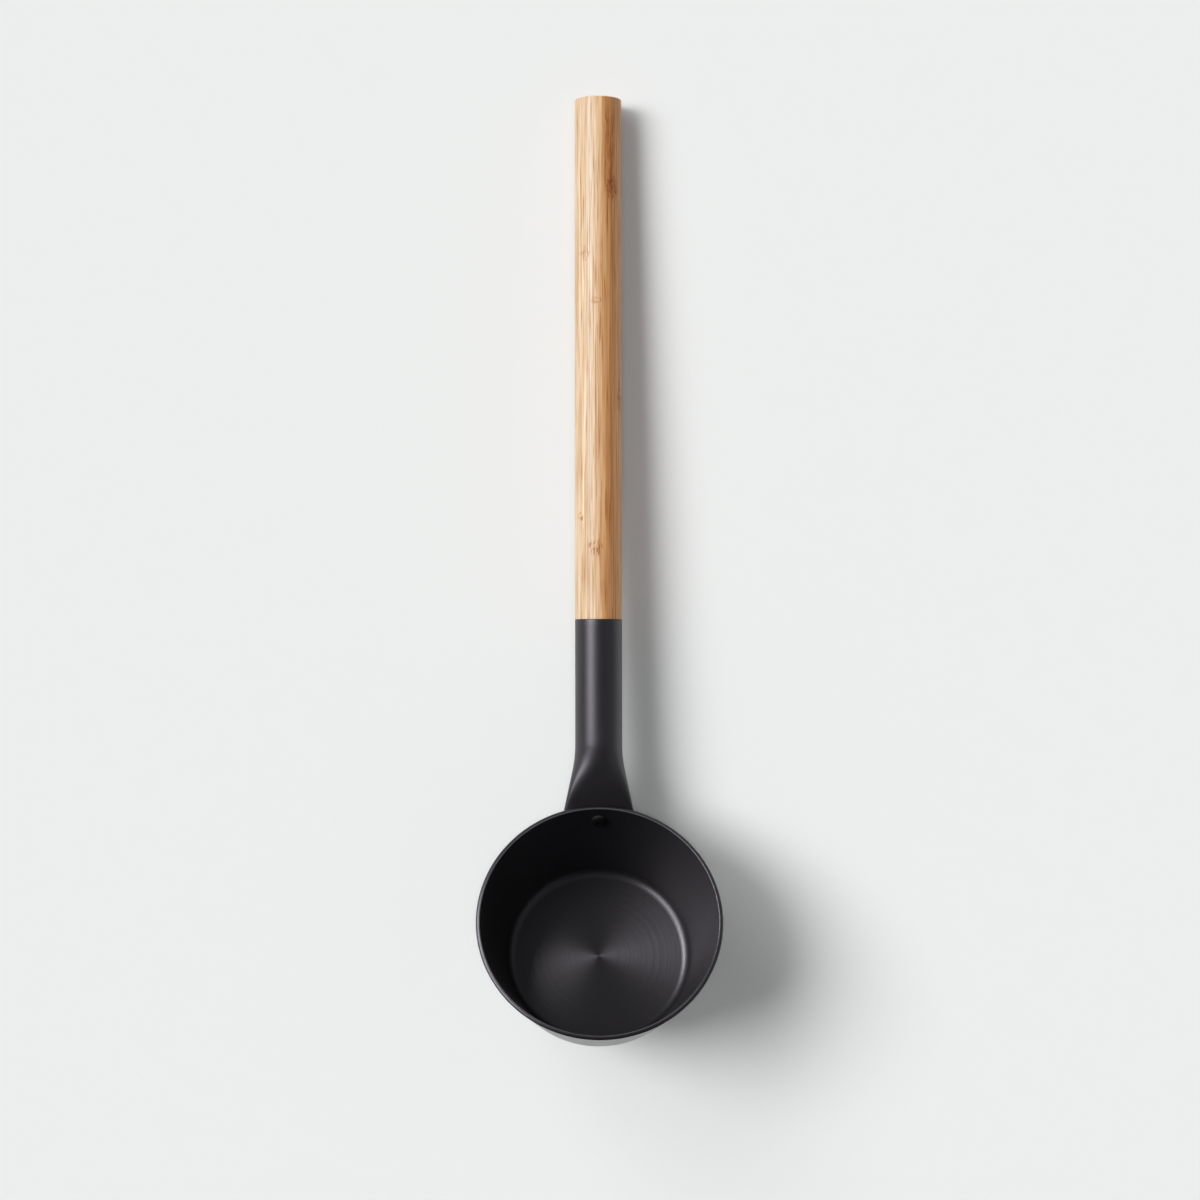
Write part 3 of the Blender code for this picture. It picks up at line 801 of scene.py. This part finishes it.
def dressFitting(node, name, axes, origin):
    # turned lines by height along the fitting's axis, over a grain that also dulls the gloss in places
    look = fittings[name]
    material, tree, shader = newMaterial(name)
    vector = localCoordinates(tree, axes, origin)
    height = splitVector(tree, vector)["Z"]
    lines = useGroup(tree, turnedLines, {"Distance": height, "Spacing": look["spacing"]})["Rings"]
    grain = useGroup(tree, fineGrain, {"Vector": vector, **fittingGrain})
    drift = mapRange(tree, grain["Drift"], *noiseSpan)
    plug(tree, shader, {
        "Base Color": mixColour(tree, drift, look["dark"], look["light"]),
        "Roughness": mapRange(tree, grain["Grain"], *noiseSpan, *look["roughness"]),
        "Metallic": look["metallic"],
        "Normal": bumpNode(tree, lines, look["depth"], fittingLineStrength),
    })
    for slot in frame["nodes"][node].material_slots:
        slot.material = material
    print("fitting", node, "is dressed in", name)


studAxes = axesUpright(barAlong)
dressFitting("seal_washer", "blackRubber", screwAxes, screwOrigin)
dressFitting("cup_insert", "brass", screwAxes, screwOrigin)
dressFitting("stud_insert", "brass", studAxes, joint)
dressFitting("handle_stud", "brightSteel", studAxes, joint)


# Stage: a wide pale floor, soft lamps and dim surroundings

stage = {
    "floorColour": (0.842, 0.858, 0.850, 1.0),
    "floorRoughness": 0.9,
    "floorRadius": 20.0,
    "floorRings": 12,
    "floorAround": 96,
    "backdrop": (0.838, 0.855, 0.847, 1.0),  # what the camera sees past the floor's edge, as bright as it
    "surround": 0.118,          # share of the floor's light that comes evenly from all round
    "glowFall": (-0.35, -0.14),  # gloss sees a glow over the handle's side, which fades out over the cup's
    "glow": (0.015, 0.215),
    "sideFall": (0.35, 0.80),   # and some more of it low on the right
    "sideGlow": 0.16,
}
# each lamp: which way it leans from upright, its size in degrees, its strength as a share of the floor's
# brightness, and whether it shows in matt light or in gloss
lamps = {
    "keyMatt": {"lean": (-0.88, 0.28), "size": 32.0, "share": 0.62, "shows": "matt"},
    "upperMatt": {"lean": (-0.74, 1.10), "size": 24.0, "share": 0.09, "shows": "matt"},
    "overheadMatt": {"lean": (0.0, 0.13), "size": 12.0, "share": 0.17, "shows": "matt"},
    "keyGloss": {"lean": (-0.88, 0.38), "size": 36.0, "share": 0.545, "shows": "gloss"},
    "upperGloss": {"lean": (-0.965, 1.19), "size": 20.0, "share": 0.38, "shows": "gloss"},
}


def makeFloor():
    # a flat disc, its rings at radii that grow with the square of their number
    radius = stage["floorRadius"] * np.linspace(0.0, 1.0, stage["floorRings"]) ** 2
    rings = turned(np.stack([radius, np.zeros(len(radius))], axis=1), stage["floorAround"])
    rows, cols = rings.shape[:2]
    index = np.arange(rows * cols).reshape(rows, cols)
    after = np.roll(index, -1, axis=1)
    quads = np.stack([index[1:-1], index[2:], after[2:], after[1:-1]], axis=-1).reshape(-1, 4)
    middle = np.stack([index[0], index[1], after[1]], axis=-1)
    mesh = bpy.data.meshes.new("floor")
    mesh.from_pydata(rings.reshape(-1, 3).tolist(), [], quads.tolist() + middle.tolist())
    floor = bpy.data.objects.new("floor", mesh)
    bpy.context.scene.collection.objects.link(floor)
    material, tree, shader = newMaterial("paleFloor")
    plug(tree, shader, {"Base Color": stage["floorColour"], "Roughness": stage["floorRoughness"],
                        "Specular IOR Level": 0.0})
    mesh.materials.append(material)


def makeLamp(name, lamp):
    # a far, round soft light; its strength gives its share of a level white floor's brightness
    lean = Vector((*lamp["lean"], 1.0)).normalized()
    data = bpy.data.lights.new(name, "SUN")
    data.angle = math.radians(lamp["size"])
    data.energy = lamp["share"] * math.pi / lean.z
    made = bpy.data.objects.new(name, data)
    made.rotation_euler = lean.to_track_quat("Z", "Y").to_euler()
    made.visible_glossy = lamp["shows"] == "gloss"
    made.visible_diffuse = lamp["shows"] == "matt"
    bpy.context.scene.collection.objects.link(made)


def makeSurroundings():
    # even and dim for matt light; for gloss a soft step along the ladle, by the direction's y,
    # and one across it, by its x
    world = bpy.data.worlds.new("surroundings")
    bpy.context.scene.world = world
    world.use_nodes = True
    tree = world.node_tree
    direction = addNode(tree, "ShaderNodeTexCoord").outputs["Generated"]
    across, towards, _ = splitVector(tree, direction)
    glow = mapRange(tree, towards, *stage["glowFall"], *stage["glow"], smooth=True)
    side = mapRange(tree, across, *stage["sideFall"], 0.0, stage["sideGlow"], smooth=True)
    path = addNode(tree, "ShaderNodeLightPath").outputs
    strength = blend(tree, path["Is Glossy Ray"], stage["surround"], mathNode(tree, "ADD", glow, side))
    plug(tree, tree.nodes["Background"], {
        "Strength": mathNode(tree, "MAXIMUM", strength, path["Is Camera Ray"]),
        "Color": mixColour(tree, path["Is Camera Ray"], (1.0, 1.0, 1.0, 1.0), stage["backdrop"]),
    })


view = {
    "focalPixels": 2700.0,        # focal length, in pixels of the photograph's frame
    "framePixels": 1200.0,
    "sensorWidth": 36.0,
    "jointPixel": (598.5, 619.5),  # where the joint of wood and neck lies in the photograph
    "metresPerPixel": 0.00042644,  # there, from the handle's 20 mm
    "handleRecede": 1.4,          # degrees by which the handle's end leans away from the camera
    "sideLean": 0.6,              # degrees by which the camera stands to the left of straight above
    "roll": -0.07,
}


def makeCamera():
    # the handle's axis leans away by a known angle, which fixes the camera's up and its view line
    lean = math.radians(view["handleRecede"])
    side = math.radians(view["sideLean"])
    over = math.cos(side) * barAxes[:, 2] - math.sin(side) * sideways
    right = np.cross(barAlong, over)
    up = math.cos(lean) * barAlong + math.sin(lean) * over
    back = math.cos(lean) * over - math.sin(lean) * barAlong
    half, scale = view["framePixels"] / 2, view["metresPerPixel"]
    dx = (view["jointPixel"][0] - half) * scale
    dy = (half - view["jointPixel"][1]) * scale
    place = joint - dx * right - dy * up + view["focalPixels"] * scale * back
    data = bpy.data.cameras.new("camera")
    data.sensor_width = view["sensorWidth"]
    data.lens = view["focalPixels"] / view["framePixels"] * data.sensor_width
    camera = bpy.data.objects.new("camera", data)
    turn = Matrix(np.stack([right, up, back], axis=1).tolist()).to_4x4()
    roll = Matrix.Rotation(math.radians(view["roll"]), 4, "Z")
    camera.matrix_world = Matrix.Translation(place) @ turn @ roll
    bpy.context.scene.collection.objects.link(camera)
    bpy.context.scene.camera = camera


makeFloor()
for lampName, lamp in lamps.items():
    makeLamp(lampName, lamp)
makeSurroundings()
makeCamera()
bpy.context.scene.view_settings.view_transform = "Standard"
print("stage, light and camera are set")
